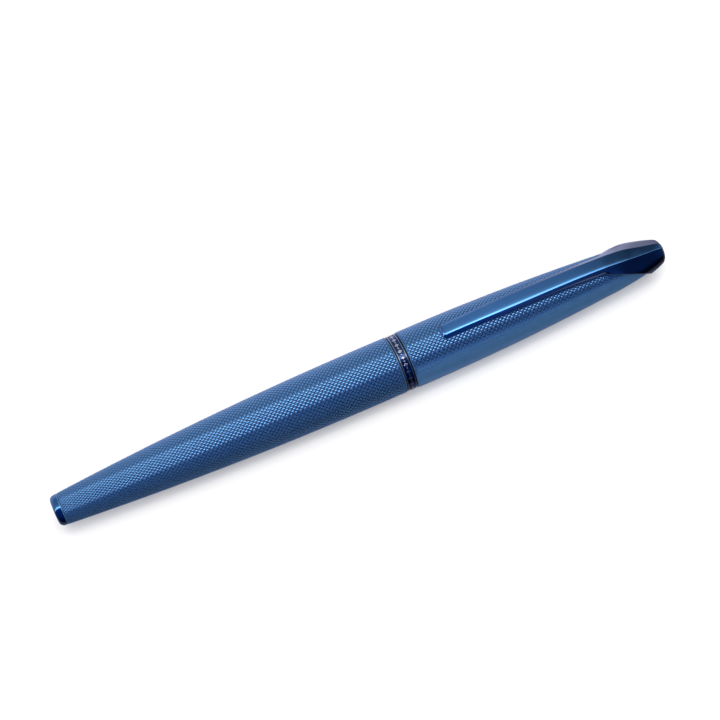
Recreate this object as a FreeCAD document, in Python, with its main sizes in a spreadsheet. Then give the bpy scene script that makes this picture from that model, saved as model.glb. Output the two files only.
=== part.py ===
import FreeCAD, Part
import math
import os
import Sketcher

# Capped rollerball pen, lying on its belly: tail at -X, head at +X, clip up (+Z), millimetres.
# Outlines are drawn in the pen's own measure: "along" runs from the tail's end (0) to the head's end,
# "out" is the distance from the pen's axis. Every piece is then placed so that the pen is centred on X.

DRIVING = {
    # whole pen
    "pen_length": 140.0,
    "tail_rim_length": 1.6,
    "barrel_end": 77.23,
    "groove_width": 0.3,
    "ring_width": 1.85,
    "face_gap": 0.02,
    "running_gap": 0.05,
    # outer surface of barrel and cap
    "tail_face_radius": 2.35,
    "tail_radius": 3.41,
    "barrel_mouth_radius": 6.22,
    "barrel_arc": 845.0,
    "groove_radius": 5.85,
    "ring_radius": 6.15,
    "axis_height": 6.27,
    "cap_lip_radius": 6.263,
    "cap_shoulder_along": 125.4,
    "cap_shoulder_radius": 4.57,
    "cap_arc": 540.0,
    "cap_end": 136.6,
    "cap_end_radius": 3.12,
    "cap_end_arc": 75.0,
    # inside the barrel
    "tail_bore_radius": 2.5,
    "tail_bore_end": 6.5,
    "barrel_bore_radius": 5.4,
    "bush_start": 62.9,
    "bush_end": 75.4,
    "thread_radius": 4.3,
    "spring_coil_radius": 1.5,
    "spring_wire_radius": 0.22,
    "spring_turns": 7.0,
    "spring_seat_depth": 1.4,
    "spring_end_gap": 0.05,
    # refill
    "refill_start": 12.4,
    "refill_radius": 3.05,
    "refill_wall": 0.25,
    "refill_clearance": 0.25,
    "end_plug_length": 1.5,
    "end_plug_stem": 3.0,
    "ink_gap": 5.0,
    "feed_radius": 0.6,
    "point_hold": 3.0,
    "point_reach": 2.3,
    "refill_tube_end": 108.9,
    "tip_radius": 1.15,
    "ball_radius": 0.35,
    "ball_along": 123.25,
    # section
    "sleeve_thread_start": 2.5,
    "thread_relief": 0.15,
    "cord_radius": 0.4,
    "sleeve_length": 14.0,
    "collar_radius": 4.95,
    "collar_length": 3.6,
    "grip_end": 111.9,
    "grip_bore_radius": 3.9,
    "grip_back_radius": 4.75,
    "grip_front_radius": 3.85,
    "grip_arc": 900.0,
    "front_ring_width": 0.9,
    "nose_end": 120.3,
    "nose_end_radius": 1.5,
    # inside the cap
    "cap_wall": 0.75,
    "clutch_inset": 0.6,
    "liner_floor": 1.6,
    "seal_thickness": 1.2,
    "clutch_end": 91.9,
    "liner_start": 114.4,
    "liner_end": 128.5,
    "screw_head_start": 129.4,
    "screw_radius": 1.2,
    "screw_head_length": 1.3,
    "screw_reach": 1.7,
    "washer_thickness": 0.3,
    # crown
    "crown_start": 124.4,
    "crown_start_radius": 6.05,
    "crown_end_radius": 2.78,
    "wave_long_arc": 24.0,
    "wave_short_arc": 9.0,
    "seat_gap": 0.02,
}

document = FreeCAD.newDocument("rollerball_pen")
sheet = document.addObject("Spreadsheet::Sheet", "sizes")


class Size(float):
    """A length that also keeps the sheet formula it comes from."""

    def __new__(cls, value, formula):
        size = super().__new__(cls, value)
        size.formula = formula
        return size

    def __add__(self, other):
        return Size(float(self) + float(other), f"({self.formula} + {formula_of(other)})")

    def __sub__(self, other):
        return Size(float(self) - float(other), f"({self.formula} - {formula_of(other)})")

    def __mul__(self, other):
        return Size(float(self) * float(other), f"({self.formula} * {formula_of(other)})")


def formula_of(length):
    return length.formula if isinstance(length, Size) else repr(float(length))


def fill_sheet():
    """Put every driving dimension in the sheet and return the dimensions by name."""
    sizes = {}
    for row, (name, value) in enumerate(DRIVING.items(), start=1):
        sheet.set(f"A{row}", name)
        sheet.set(f"B{row}", str(value))
        sheet.setAlias(f"B{row}", name)
        sizes[name] = Size(value, f"sizes.{name}")
    document.recompute()
    return sizes


size = fill_sheet()

# Stations along the pen that several pieces share.
washer_start = size["barrel_end"] + size["face_gap"]
ring_start = size["barrel_end"] + size["groove_width"]
ring_end = ring_start + size["ring_width"]
flange_start = ring_end + size["face_gap"]
flange_end = flange_start + size["groove_width"] - size["face_gap"]
cap_start = flange_end + size["running_gap"]
thread_stub_radius = size["thread_radius"] - size["running_gap"]
ring_bore_radius = size["thread_radius"] + 0.3
refill_bore_radius = size["refill_radius"] + size["refill_clearance"]
refill_tube_bore = size["refill_radius"] - size["refill_wall"]
point_start = size["nose_end"] - size["point_reach"] - size["point_hold"]
thread_root_radius = thread_stub_radius - size["thread_relief"]
thread_end = size["bush_end"] + 0.1
sleeve_end = flange_end + size["sleeve_length"]
nose_start = size["grip_end"] + size["front_ring_width"]
liner_floor_start = size["liner_end"] - size["liner_floor"]
screw_head_end = size["screw_head_start"] + size["screw_head_length"]


def new_body(label):
    """A body whose own frame is the pen's axis, placed so that the pen lies centred on the ground."""
    body = document.addObject("PartDesign::Body", label)
    body.Label = label
    body.setExpression("Placement.Base.x", "-sizes.pen_length / 2")
    body.setExpression("Placement.Base.z", "sizes.axis_height")
    return body


def plane_of(body, role):
    return next(feature for feature in body.Origin.OriginFeatures if feature.Role == role)


def new_sketch(body, name, role):
    sketch = body.newObject("Sketcher::SketchObject", name)
    sketch.AttachmentSupport = [(plane_of(body, role), "")]
    sketch.MapMode = "FlatFace"
    return sketch


def arc_between(start, end, radius):
    """Arc of circle from start to end that bulges to the left of the way travelled."""
    across = end - start
    left = FreeCAD.Vector(-across.y, across.x, 0).normalize()
    to_centre = math.sqrt(radius * radius - across.Length ** 2 / 4)
    centre = (start + end) * 0.5 - left * to_centre
    end_angle, start_angle = [math.atan2(point.y - centre.y, point.x - centre.x) for point in (end, start)]
    if start_angle < end_angle:
        start_angle += 2 * math.pi
    circle = Part.Circle(centre, FreeCAD.Vector(0, 0, 1), radius)
    return Part.ArcOfCircle(circle, end_angle, start_angle)


def bind(sketch, constraint, length):
    """Add a dimension to the sketch and tie it to the sheet."""
    index = sketch.addConstraint(constraint)
    if isinstance(length, Size):
        sketch.setExpression(f"Constraints[{index}]", length.formula)


def pin_corner(sketch, edge, end, corner):
    """Hold one corner of an outline at its two coordinates."""
    for axis, kind, length in ((-2, "DistanceX", corner[0]), (-1, "DistanceY", corner[1])):
        if float(length) == 0.0:
            sketch.addConstraint(Sketcher.Constraint("PointOnObject", edge, end, axis))
        else:
            bind(sketch, Sketcher.Constraint(kind, -1, 1, edge, end, float(length)), length)


def draw(sketch, outline):
    """Closed outline of corners (along, out) or (along, out, radius of the arc that leads to it)."""
    points = [FreeCAD.Vector(float(corner[0]), float(corner[1]), 0) for corner in outline]
    starts, ends = [], []
    for index, corner in enumerate(outline):
        start, end = points[index - 1], points[index]
        is_arc = len(corner) > 2
        if is_arc:
            edge = sketch.addGeometry(arc_between(start, end, float(corner[2])))
        else:
            edge = sketch.addGeometry(Part.LineSegment(start, end))
        starts.append((edge, 2 if is_arc else 1))
        ends.append((edge, 1 if is_arc else 2))
    for index, corner in enumerate(outline):
        following = starts[(index + 1) % len(outline)]
        sketch.addConstraint(Sketcher.Constraint("Coincident", *ends[index], *following))
        pin_corner(sketch, *ends[index], corner)
        if len(corner) > 2:
            bind(sketch, Sketcher.Constraint("Radius", ends[index][0], float(corner[2])), corner[2])


def revolve(body, name, outline, kind="PartDesign::Revolution"):
    """Turn an outline about the pen's axis, adding to the body or, as a Groove, cutting it."""
    sketch = new_sketch(body, f"{name}_outline", "XZ_Plane")
    draw(sketch, outline)
    feature = body.newObject(kind, f"{name}_turned")
    feature.Profile = sketch
    feature.ReferenceAxis = (sketch, ["H_Axis"])
    feature.Angle = 360.0
    return feature


def turned(label, outline):
    """A piece made on the lathe from one outline."""
    body = new_body(label)
    revolve(body, label, outline)
    return body


# ---- barrel ----

def barrel_tube():
    rim = size["tail_rim_length"]
    return turned("barrel_tube", [
        (rim, size["tail_bore_radius"]),
        (rim, size["tail_radius"]),
        (size["barrel_end"], size["barrel_mouth_radius"], size["barrel_arc"]),
        (size["barrel_end"], size["barrel_bore_radius"]),
        (size["bush_start"], size["barrel_bore_radius"]),
        (size["refill_start"], refill_bore_radius),
        (size["tail_bore_end"], refill_bore_radius - 0.1),
        (size["tail_bore_end"], size["tail_bore_radius"]),
    ])


def tail_plug():
    rim = size["tail_rim_length"]
    stem_end = size["tail_bore_end"] - 0.1
    spring_pocket = size["spring_coil_radius"] + size["spring_wire_radius"] + 0.15
    pocket_floor = rim + size["spring_seat_depth"]
    return turned("tail_plug", [
        (0.0, 0.0),
        (0.0, size["tail_face_radius"]),
        (rim * 0.5, size["tail_radius"] - 0.1, 1.0),
        (rim, size["tail_radius"]),
        (rim, size["tail_bore_radius"]),
        (stem_end, size["tail_bore_radius"]),
        (stem_end, spring_pocket),
        (pocket_floor, spring_pocket),
        (pocket_floor, 0.0),
    ])


def thread_bush():
    return turned("thread_bush", [
        (size["bush_start"], size["thread_radius"]),
        (size["bush_start"], size["barrel_bore_radius"]),
        (size["bush_end"], size["barrel_bore_radius"]),
        (size["bush_end"], size["thread_radius"]),
    ])


def refill_spring():
    """Compression spring between the tail plug's pocket and the refill's back end."""
    body = new_body("refill_spring")
    wire = size["spring_wire_radius"]
    end_gap = wire + size["spring_end_gap"]
    start = size["tail_rim_length"] + size["spring_seat_depth"] + end_gap
    travel = size["refill_start"] - start - end_gap
    sketch = new_sketch(body, "refill_spring_wire", "XZ_Plane")
    centre = FreeCAD.Vector(float(start), float(size["spring_coil_radius"]), 0)
    edge = sketch.addGeometry(Part.Circle(centre, FreeCAD.Vector(0, 0, 1), float(wire)))
    pin_corner(sketch, edge, 3, (start, size["spring_coil_radius"]))
    bind(sketch, Sketcher.Constraint("Radius", edge, float(wire)), wire)
    coil = body.newObject("PartDesign::AdditiveHelix", "refill_spring_coil")
    coil.Profile = sketch
    coil.ReferenceAxis = (sketch, ["H_Axis"])
    coil.Mode = 2  # height and number of turns
    coil.setExpression("Height", travel.formula)
    coil.setExpression("Turns", size["spring_turns"].formula)
    return body


# ---- ring between barrel and cap ----

def shoulder_washer():
    return turned("shoulder_washer", [
        (washer_start, ring_bore_radius),
        (washer_start, size["groove_radius"]),
        (ring_start, size["groove_radius"]),
        (ring_start, ring_bore_radius),
    ])


def centre_ring():
    edge_round = 0.12
    return turned("centre_ring", [
        (ring_start, ring_bore_radius),
        (ring_start, size["ring_radius"] - edge_round),
        (ring_start + edge_round, size["ring_radius"], edge_round),
        (ring_end - edge_round, size["ring_radius"]),
        (ring_end, size["ring_radius"] - edge_round, edge_round),
        (ring_end, ring_bore_radius),
    ])


# ---- section: the part that is gripped to write ----

def section_sleeve():
    """Brass sleeve: its back end screws into the barrel, its flange stops the cap."""
    start = size["bush_start"] + size["sleeve_thread_start"]
    neck = ring_bore_radius - size["running_gap"]
    return turned("section_sleeve", [
        (start, refill_bore_radius),
        (start, thread_stub_radius),
        (thread_end, thread_stub_radius),
        (thread_end, thread_root_radius),
        (washer_start, thread_root_radius),
        (washer_start, neck),
        (flange_start, neck),
        (flange_start, size["groove_radius"]),
        (flange_end, size["groove_radius"]),
        (flange_end, size["grip_bore_radius"]),
        (sleeve_end, size["grip_bore_radius"]),
        (sleeve_end, refill_bore_radius),
    ])


def thread_o_ring():
    """Rubber ring in the groove between the thread and the neck."""
    ring = document.addObject("Part::Torus", "thread_o_ring")
    ring.Label = "thread_o_ring"
    ring.setExpression("Radius1", (thread_root_radius + size["cord_radius"]).formula)
    ring.setExpression("Radius2", size["cord_radius"].formula)
    along = (thread_end + washer_start) * 0.5
    ring.Placement.Rotation = FreeCAD.Rotation(FreeCAD.Vector(0, 1, 0), 90)
    ring.setExpression("Placement.Base.x", f"{along.formula} - sizes.pen_length / 2")
    ring.setExpression("Placement.Base.z", "sizes.axis_height")
    return ring


def grip_tube():
    collar_end = flange_end + size["collar_length"]
    collar_chamfer = 0.3
    front_bore = refill_bore_radius + size["running_gap"]
    return turned("grip_tube", [
        (flange_end, size["grip_bore_radius"]),
        (flange_end, size["collar_radius"]),
        (collar_end, size["collar_radius"]),
        (collar_end + collar_chamfer, size["grip_back_radius"]),
        (size["grip_end"], size["grip_front_radius"], size["grip_arc"]),
        (size["grip_end"], front_bore),
        (sleeve_end, front_bore),
        (sleeve_end, size["grip_bore_radius"]),
    ])


def front_ring():
    bore = refill_bore_radius + size["running_gap"]
    step_out = 0.1
    return turned("front_ring", [
        (size["grip_end"], bore),
        (size["grip_end"], size["grip_front_radius"] + step_out),
        (nose_start, size["grip_front_radius"] + size["face_gap"]),
        (nose_start, bore),
    ])


def nose_cone():
    """Hollow cone with a guide bore for the point, its mouth rounded over."""
    guide_bore = size["tip_radius"] + size["running_gap"]
    guide_length = 1.6
    back_bore = 2.75
    front_bore = 2.05
    mouth_round = 0.4
    flank_arc = 40.0
    return turned("nose_cone", [
        (nose_start, back_bore),
        (nose_start, size["grip_front_radius"] - 0.2),
        (size["nose_end"] - 0.3, size["nose_end_radius"] + 0.1, flank_arc),
        (size["nose_end"], size["nose_end_radius"] - 0.15, mouth_round),
        (size["nose_end"], guide_bore),
        (size["nose_end"] - guide_length, guide_bore),
        (size["nose_end"] - guide_length - 0.2, front_bore),
    ])


# ---- refill ----

def refill_tube():
    start = size["refill_start"] + size["end_plug_length"]
    return turned("refill_tube", [
        (start, refill_tube_bore),
        (start, size["refill_radius"]),
        (size["refill_tube_end"], size["refill_radius"]),
        (size["refill_tube_end"], refill_tube_bore),
    ])


def refill_end_plug():
    start = size["refill_start"]
    shoulder = start + size["end_plug_length"]
    stem_end = shoulder + size["end_plug_stem"]
    edge_round = 0.3
    vent_radius = 0.5
    return turned("refill_end_plug", [
        (start, vent_radius),
        (start, size["refill_radius"] - edge_round),
        (start + edge_round, size["refill_radius"], edge_round),
        (shoulder, size["refill_radius"]),
        (shoulder, refill_tube_bore),
        (stem_end, refill_tube_bore),
        (stem_end, vent_radius),
    ])


def ink_reservoir():
    fibre_radius = refill_tube_bore - 0.1
    start = size["refill_start"] + size["ink_gap"]
    end = size["refill_tube_end"] - size["ink_gap"]
    return turned("ink_reservoir", [
        (start, 0.0),
        (start, fibre_radius),
        (end, fibre_radius),
        (end, 0.0),
    ])


def feed_rod():
    rod_radius = size["feed_radius"] - size["running_gap"]
    start = size["refill_tube_end"] - size["ink_gap"]
    end = size["ball_along"] - 2.4
    return turned("feed_rod", [
        (start, 0.0),
        (start, rod_radius),
        (end, rod_radius),
        (end, 0.0),
    ])


def refill_nose():
    """Plastic front of the refill, stepped down to the steel point that it holds."""
    tube_end = size["refill_tube_end"]
    stem_length = 4.0
    collar_end = tube_end + 2.0
    step_end = tube_end + 3.2
    step_radius = 2.3
    front = size["nose_end"] - size["point_reach"]
    front_radius = 1.75
    return turned("refill_nose", [
        (tube_end - stem_length, size["feed_radius"]),
        (tube_end - stem_length, refill_tube_bore),
        (tube_end, refill_tube_bore),
        (tube_end, size["refill_radius"]),
        (collar_end, size["refill_radius"]),
        (step_end, step_radius),
        (front, front_radius),
        (front, size["tip_radius"]),
        (point_start, size["tip_radius"]),
        (point_start, size["feed_radius"]),
    ])


def refill_tip():
    """Steel point with a cone that is turned in around the ball."""
    cone_start = size["ball_along"] - 1.6
    seat = size["ball_radius"] + 0.01
    lip = size["ball_along"] + 0.08
    lip_thickness = 0.08
    seat_floor = size["ball_along"] - size["ball_radius"] - 0.05
    funnel_start = size["ball_along"] - 2.3
    return turned("refill_tip", [
        (point_start, size["feed_radius"]),
        (point_start, size["tip_radius"]),
        (cone_start, size["tip_radius"]),
        (lip, seat + lip_thickness),
        (lip, seat),
        (seat_floor, seat),
        (funnel_start, size["feed_radius"]),
    ])


def writing_ball():
    ball = document.addObject("Part::Sphere", "writing_ball")
    ball.Label = "writing_ball"
    ball.setExpression("Radius", "sizes.ball_radius")
    ball.setExpression("Placement.Base.x", "sizes.ball_along - sizes.pen_length / 2")
    ball.setExpression("Placement.Base.z", "sizes.axis_height")
    return ball


# ---- cap ----

def cap_outline(gap):
    """Outer line of the cap from lip to closed end, moved out by a gap."""
    lip = (cap_start, size["cap_lip_radius"] + gap)
    shoulder = (size["cap_shoulder_along"], size["cap_shoulder_radius"] + gap, size["cap_arc"])
    end = (size["cap_end"], size["cap_end_radius"] + gap, size["cap_end_arc"])
    return [lip, shoulder, end]


def cap_tube():
    wall = size["cap_wall"]
    bore = size["barrel_bore_radius"]
    lip, shoulder, end = cap_outline(0.0)
    return turned("cap_tube", [
        (cap_start, bore),
        lip,
        shoulder,
        end,
        (size["cap_end"], size["cap_end_radius"] - wall),
        (size["cap_shoulder_along"], size["cap_shoulder_radius"] - wall - 0.1),
        (size["clutch_end"], bore),
    ])


def cap_clutch():
    """Bush whose inner wall grips the section's collar."""
    start = cap_start + size["clutch_inset"]
    end = size["clutch_end"] - 0.5
    outside = size["barrel_bore_radius"] - 0.01
    grip = size["collar_radius"] + size["running_gap"]
    relief = grip + 0.1
    grip_start = start + 0.8
    grip_end = start + 2.5
    return turned("cap_clutch", [
        (start, relief),
        (start, outside),
        (end, outside),
        (end, relief),
        (grip_end + 0.5, relief),
        (grip_end, grip),
        (grip_start, grip),
    ])


def cap_liner():
    """Inner cap: a cup around the nose cone."""
    start, end = size["liner_start"], size["liner_end"]
    mouth_bore, mouth_radius = 3.75, 4.25
    end_bore, end_radius = 2.75, 3.3
    return turned("cap_liner", [
        (start, mouth_bore),
        (start, mouth_radius),
        (end, end_radius),
        (end, 0.0),
        (liner_floor_start, 0.0),
        (liner_floor_start, end_bore),
    ])


def tip_seal():
    front = liner_floor_start - size["seal_thickness"]
    back = liner_floor_start - 0.01
    seal_radius = 2.6
    return turned("tip_seal", [
        (front, 0.0),
        (front, seal_radius),
        (back, seal_radius),
        (back, 0.0),
    ])


def crown_insert():
    """Brass bush in the cap's closed end that the hood's screw passes through."""
    start = screw_head_end + size["washer_thickness"]
    end = size["cap_end"]
    hole = size["screw_radius"] + size["running_gap"]
    end_radius = size["cap_end_radius"] - size["cap_wall"] - 0.02
    flare = 0.6
    return turned("crown_insert", [
        (start, hole),
        (start, end_radius + flare),
        (end, end_radius),
        (end, hole),
    ])


def hood_washer():
    hole = size["screw_radius"] + 0.1
    washer_radius = 2.5
    end = screw_head_end + size["washer_thickness"]
    return turned("hood_washer", [
        (screw_head_end, hole),
        (screw_head_end, washer_radius),
        (end, washer_radius),
        (end, hole),
    ])


def hood_screw():
    """Screw with a round recess in its head, from inside the cap into the hood."""
    start = size["screw_head_start"]
    head_radius = 2.1
    chamfer = 0.2
    recess_depth, recess_radius = 0.6, 0.7
    end = size["cap_end"] + size["screw_reach"]
    return turned("hood_screw", [
        (start + recess_depth, 0.0),
        (start + recess_depth, recess_radius),
        (start, recess_radius),
        (start, head_radius - chamfer),
        (start + chamfer, head_radius),
        (screw_head_end, head_radius),
        (screw_head_end, size["screw_radius"]),
        (end, size["screw_radius"]),
        (end, 0.0),
    ])


# ---- clip and crown in one piece ----

# Cross-sections of the ribbon: place along the pen, then half-width and height of its flat top,
# of the shoulder where its bevel ends, and of the foot of its side.
RIBBON_SECTIONS = [
    (87.8, (0.80, 6.75), (1.10, 6.60), (1.20, 6.32)),
    (88.7, (1.00, 7.02), (1.50, 6.70), (1.58, 6.28)),
    (90.9, (1.06, 7.15), (1.56, 6.80), (1.64, 6.26)),
    (103.9, (1.28, 7.60), (1.78, 7.25), (1.86, 6.35)),
    (117.9, (1.33, 7.25), (1.85, 6.88), (1.93, 5.98)),
    (124.9, (1.37, 6.65), (1.95, 6.10), (2.05, 5.50)),
    (128.6, (1.37, 6.10), (2.65, 4.95), (2.85, 4.35)),
    (130.4, (1.35, 5.70), (3.15, 3.95), (3.20, 3.50)),
    (134.6, (1.00, 4.35), (2.78, 3.00), (2.85, 2.00)),
    (138.6, (0.60, 3.20), (2.12, 1.95), (2.00, 1.00)),
]


def ribbon_section(body, index, row):
    """One cross-section of the ribbon, square to the pen's axis and the same on both sides."""
    along, *right_side = row
    left_side = [(-half_width, height) for half_width, height in reversed(right_side)]
    sketch = new_sketch(body, f"ribbon_section_{index}", "YZ_Plane")
    sketch.AttachmentOffset = FreeCAD.Placement(FreeCAD.Vector(0, 0, along), FreeCAD.Rotation())
    draw(sketch, left_side + right_side)
    return sketch


def clip_hood():
    """Ribbon from clip tip to end, joined to a crown that a wave line cuts off over the cap."""
    body = new_body("clip_hood")
    sections = [ribbon_section(body, index, row) for index, row in enumerate(RIBBON_SECTIONS)]
    ribbon = body.newObject("PartDesign::AdditiveLoft", "ribbon")
    ribbon.Profile = sections[0]
    ribbon.Sections = sections[1:]
    ribbon.Ruled = True

    start, end = size["crown_start"], size["pen_length"]
    swell_end = size["cap_end"] - 4.1
    revolve(body, "crown", [
        (start, 0.0),
        (start, size["crown_start_radius"]),
        (swell_end, 4.6, 45.0),
        (size["cap_end"], 3.65),
        (end - 1.0, size["crown_end_radius"], 15.0),
        (end - 0.1, 1.5, 1.3),
        (end, 0.0, 12.0),
    ])

    wave = new_sketch(body, "wave_outline", "XZ_Plane")
    wave_end = size["cap_end"] + 0.3
    below = -8.0
    draw(wave, [
        (start - 0.1, 5.72),
        (start + 9.5, 1.0, size["wave_long_arc"]),
        (wave_end, -3.7, size["wave_short_arc"]),
        (wave_end, below),
        (start - 0.1, below),
    ])
    cut = body.newObject("PartDesign::Pocket", "wave_cut")
    cut.Profile = wave
    cut.Type = 1  # through all
    cut.Midplane = True

    lip, shoulder, cap_end = cap_outline(size["seat_gap"])
    seat_end = size["cap_end"] + size["seat_gap"]
    screw_hole = size["screw_radius"] + size["running_gap"]
    screw_hole_end = size["cap_end"] + size["screw_reach"] + 0.2
    revolve(body, "cap_seat", [
        (cap_start, 0.0),
        lip,
        shoulder,
        (seat_end, cap_end[1], cap_end[2]),
        (seat_end, screw_hole),
        (screw_hole_end, screw_hole),
        (screw_hole_end, 0.0),
    ], kind="PartDesign::Groove")
    return body


def check_and_write(pieces):
    """Stop on any failed feature or broken shape, then write one file for each piece."""
    document.recompute()
    for item in document.Objects:
        if "Invalid" in item.State or "Error" in item.State:
            raise RuntimeError(f"{item.Name} failed: {item.State}")
    for piece in pieces:
        shape = piece.Shape
        if shape.isNull() or not shape.isValid() or len(shape.Solids) != 1:
            raise RuntimeError(f"{piece.Label} is not one valid solid")
        shape.exportStep(f"parts/{piece.Label}.step")
        print(f"{piece.Label:18s} {shape.Volume:9.2f} mm3")


check_and_write([
    barrel_tube(), tail_plug(), thread_bush(), refill_spring(),
    shoulder_washer(), centre_ring(),
    section_sleeve(), thread_o_ring(), grip_tube(), front_ring(), nose_cone(),
    refill_tube(), refill_end_plug(), ink_reservoir(), feed_rod(), refill_nose(), refill_tip(),
    writing_ball(),
    cap_tube(), cap_clutch(), cap_liner(), tip_seal(), crown_insert(), hood_washer(), hood_screw(),
    clip_hood(),
])
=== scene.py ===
import math

import bpy
import numpy as np
from mathutils import Matrix, Vector


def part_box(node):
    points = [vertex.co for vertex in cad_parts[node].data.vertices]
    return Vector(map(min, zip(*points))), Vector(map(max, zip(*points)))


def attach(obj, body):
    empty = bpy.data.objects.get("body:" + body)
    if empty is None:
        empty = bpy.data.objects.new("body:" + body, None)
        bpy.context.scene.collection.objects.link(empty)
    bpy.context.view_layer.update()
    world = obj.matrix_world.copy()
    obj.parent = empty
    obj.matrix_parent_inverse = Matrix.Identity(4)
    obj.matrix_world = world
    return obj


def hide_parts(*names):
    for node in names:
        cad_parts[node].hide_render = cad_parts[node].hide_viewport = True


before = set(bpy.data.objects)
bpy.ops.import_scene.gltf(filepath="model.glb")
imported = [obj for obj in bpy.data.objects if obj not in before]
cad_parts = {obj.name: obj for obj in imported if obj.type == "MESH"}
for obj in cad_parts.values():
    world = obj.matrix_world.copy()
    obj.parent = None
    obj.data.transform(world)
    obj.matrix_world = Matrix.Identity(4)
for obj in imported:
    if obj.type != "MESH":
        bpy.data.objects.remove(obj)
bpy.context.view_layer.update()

mm = 0.001
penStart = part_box("tail_plug")[0][0]
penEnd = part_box("clip_hood")[1][0]
barrelLow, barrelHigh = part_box("barrel_tube")
axisHeight = (barrelLow[2] + barrelHigh[2]) / 2
print("frame loaded")


# a CAD node's first and last place along the pen, in mm from the tail's end
def alongOf(nodeName):
    low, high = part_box(nodeName)
    return (low[0] - penStart) / mm, (high[0] - penStart) / mm


# sRGB hex to the linear colour that shaders take
def linear(hexColour, alpha=1.0):
    channels = [int(hexColour[i:i + 2], 16) / 255 for i in (1, 3, 5)]
    curve = [c / 12.92 if c <= 0.04045 else ((c + 0.055) / 1.055) ** 2.4 for c in channels]
    return (*curve, alpha)


# one node, with its settings and the sockets that feed it
def addNode(tree, kind, settings=None, inputs=None):
    node = tree.nodes.new(kind)
    for name, value in (settings or {}).items():
        setattr(node, name, value)
    for name, value in (inputs or {}).items():
        if isinstance(value, bpy.types.NodeSocket):
            tree.links.new(value, node.inputs[name])
        else:
            node.inputs[name].default_value = value
    return node


def newMaterial(name, shaderInputs):
    material = bpy.data.materials.new(name)
    material.use_nodes = True
    tree = material.node_tree
    shader = tree.nodes["Principled BSDF"]
    for key, value in shaderInputs.items():
        shader.inputs[key].default_value = value
    return material, tree, shader


# pen measure to metres: along runs from the tail's end, (across, up) from the pen's axis, all in mm
def penPoints(along, across, up):
    points = np.stack(np.broadcast_arrays(along, across, up), axis=-1).reshape(-1, 3) * mm
    return points + np.array([penStart, 0.0, axisHeight])


# a turned point: angle 0 is the top of the pen, positive towards -Y, the side that faces the viewer
def turnedPoints(along, radius, angle):
    return penPoints(along, -radius * np.sin(angle), radius * np.cos(angle))


# volume inside closed faces, by the divergence theorem over each face's fan of triangles; it is
# negative where the faces look inwards
def enclosedVolume(points, faceArrays):
    volume = 0.0
    for faces in faceArrays:
        for k in range(1, faces.shape[1] - 1):
            a, b, c = points[faces[:, 0]], points[faces[:, k]], points[faces[:, k + 1]]
            volume += np.einsum("ij,ij->", a, np.cross(b, c)) / 6
    return volume


def makePiece(name, points, faceArrays, material, body, replaced, marks=None, sharp=None):
    mesh = bpy.data.meshes.new(name)
    if enclosedVolume(points, faceArrays) < 0:
        faceArrays = [faces[:, ::-1] for faces in faceArrays]
    sizes = np.concatenate([np.full(len(faces), faces.shape[1]) for faces in faceArrays])
    corners = np.concatenate([faces.ravel() for faces in faceArrays])
    mesh.vertices.add(len(points))
    mesh.vertices.foreach_set("co", np.asarray(points, dtype=np.float32).ravel())
    mesh.loops.add(len(corners))
    mesh.loops.foreach_set("vertex_index", corners.astype(np.int32))
    mesh.polygons.add(len(sizes))
    starts = np.concatenate([[0], np.cumsum(sizes)[:-1]])
    mesh.polygons.foreach_set("loop_start", starts.astype(np.int32))
    mesh.polygons.foreach_set("use_smooth", np.ones(len(sizes), dtype=bool))
    mesh.update(calc_edges=True)
    for markName, shares in (marks or {}).items():
        mesh.attributes.new(markName, "FLOAT", "POINT").data.foreach_set("value", shares.astype(np.float32))
    if sharp is not None:
        edges = np.zeros(len(mesh.edges) * 2, dtype=np.int32)
        mesh.edges.foreach_get("vertices", edges)
        crisp = sharp[edges.reshape(-1, 2)].all(axis=1)
        mesh.attributes.new("sharp_edge", "BOOLEAN", "EDGE").data.foreach_set("value", crisp)
    mesh.validate()
    mesh.materials.append(material)
    piece = bpy.data.objects.new(name, mesh)
    bpy.context.scene.collection.objects.link(piece)
    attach(piece, body)
    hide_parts(*replaced)
    print("made", name, len(points), "points")
    return piece


# quads between neighbouring rows of a grid; a closed direction joins its last line to its first
def gridQuads(rows, columns, closeRows=False, closeColumns=False):
    row = np.arange(rows if closeRows else rows - 1)
    column = np.arange(columns if closeColumns else columns - 1)
    r, c = np.meshgrid(row, column, indexing="ij")
    nextR, nextC = (r + 1) % rows, (c + 1) % columns
    corners = [(r, c), (r, nextC), (nextR, nextC), (nextR, c)]
    return np.stack([cornerR * columns + cornerC for cornerR, cornerC in corners], axis=-1).reshape(-1, 4)


# a circle's height over its chord: radius of a surface that swells to peakRadius at peakAlong
def swell(along, peakAlong, peakRadius, arcRadius):
    return peakRadius - arcRadius + np.sqrt(arcRadius ** 2 - (along - peakAlong) ** 2)


coatedBlue = {
    "colour": "#78B4EC",
    "deepColour": "#6AA6E4",
    # painted shade: deep navy laid low in the grooves, darkest where two grooves cross
    "paintedGrooveShade": "#08205A",
    "brass": "#C9A564",
    "cutRoughness": 0.12,        # the cut lands and groove walls
    "satinRoughness": 0.42,      # plain rims and the cap's smooth strip
    "cutMetallic": 0.88,
    "satinMetallic": 0.8,        # the plain surface is blasted and scatters part of the light
}


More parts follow.
